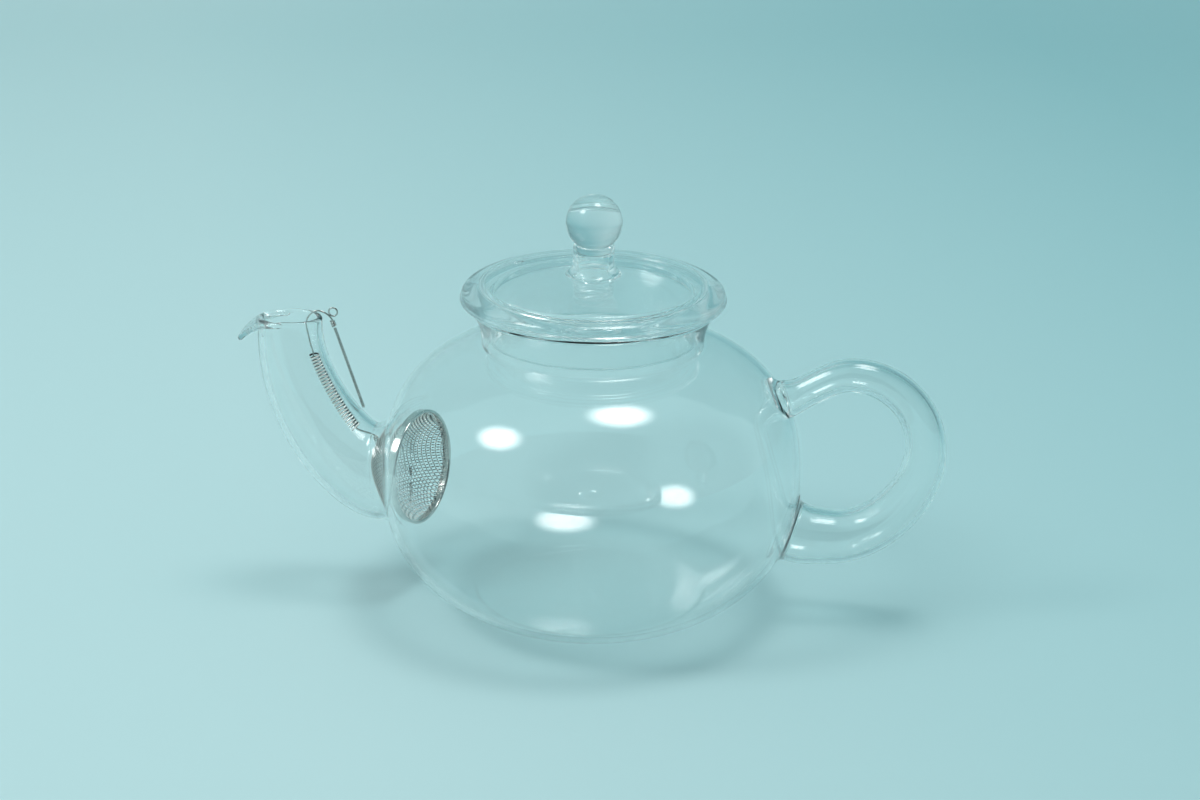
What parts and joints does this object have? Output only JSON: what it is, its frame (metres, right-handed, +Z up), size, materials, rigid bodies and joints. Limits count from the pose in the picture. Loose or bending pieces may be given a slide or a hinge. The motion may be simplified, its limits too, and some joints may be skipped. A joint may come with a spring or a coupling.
{
  "type": "teapot",
  "caption": "Round clear glass teapot with a lift-off domed lid and ball knob, a curved spout, a hollow loop handle and a spring-held wire strainer in the spout's root.",
  "frame": {"origin": "centre of the flat base, on the bowl's axis", "axes": "+Z up, +X towards the handle, -X towards the spout, -Y the side shown to the viewer"},
  "size_m": [0.2463, 0.145, 0.1473],
  "materials": {
    "pot_glass": "clear blown glass, fire-polished",
    "lid_glass": "clear blown glass, fire-polished",
    "strainer_steel": "woven stainless wire",
    "spring_steel": "drawn stainless wire"
  },
  "bodies": {
    "pot": {"bowl": "pot_glass", "mouth": "pot_glass", "spout": "pot_glass", "handle": "pot_glass", "handle_upper_collar": "pot_glass", "handle_lower_collar": "pot_glass", "coil_spring": "spring_steel"},
    "lid": {"lid_dome": "lid_glass", "lid_seat_ring": "lid_glass", "lid_skirt": "lid_glass", "lid_knob_stem": "lid_glass", "lid_knob_ring": "lid_glass", "lid_knob": "lid_glass"},
    "strainer": {"strainer_rim": "strainer_steel", "strainer_warp": "strainer_steel", "strainer_weft": "strainer_steel", "strainer_cap": "strainer_steel", "strainer_anchor": "strainer_steel", "link_wire": "strainer_steel"},
    "hook": {"hook_wire": "spring_steel", "hook_wrap": "spring_steel", "finger_ring": "spring_steel", "hook_tail": "spring_steel"}
  },
  "joints": [
    {"name": "lid_lift", "type": "slide", "parent": "pot", "child": "lid", "axis": [0, 0, 1], "range_m": [0, 0.06]},
    {"name": "strainer_pull", "type": "slide", "parent": "pot", "child": "strainer", "axis": [0.9063, 0, -0.4226], "range_m": [0, 0.012], "stiffness_N_per_m": 40, "springref_m": -0.005, "deforming": ["coil_spring"]},
    {"name": "hook_lift", "type": "slide", "parent": "pot", "child": "hook", "axis": [0, 0, 1], "range_m": [0, 0.006], "stiffness_N_per_m": 20, "springref_m": -0.003, "deforming": ["coil_spring"]}
  ]
}
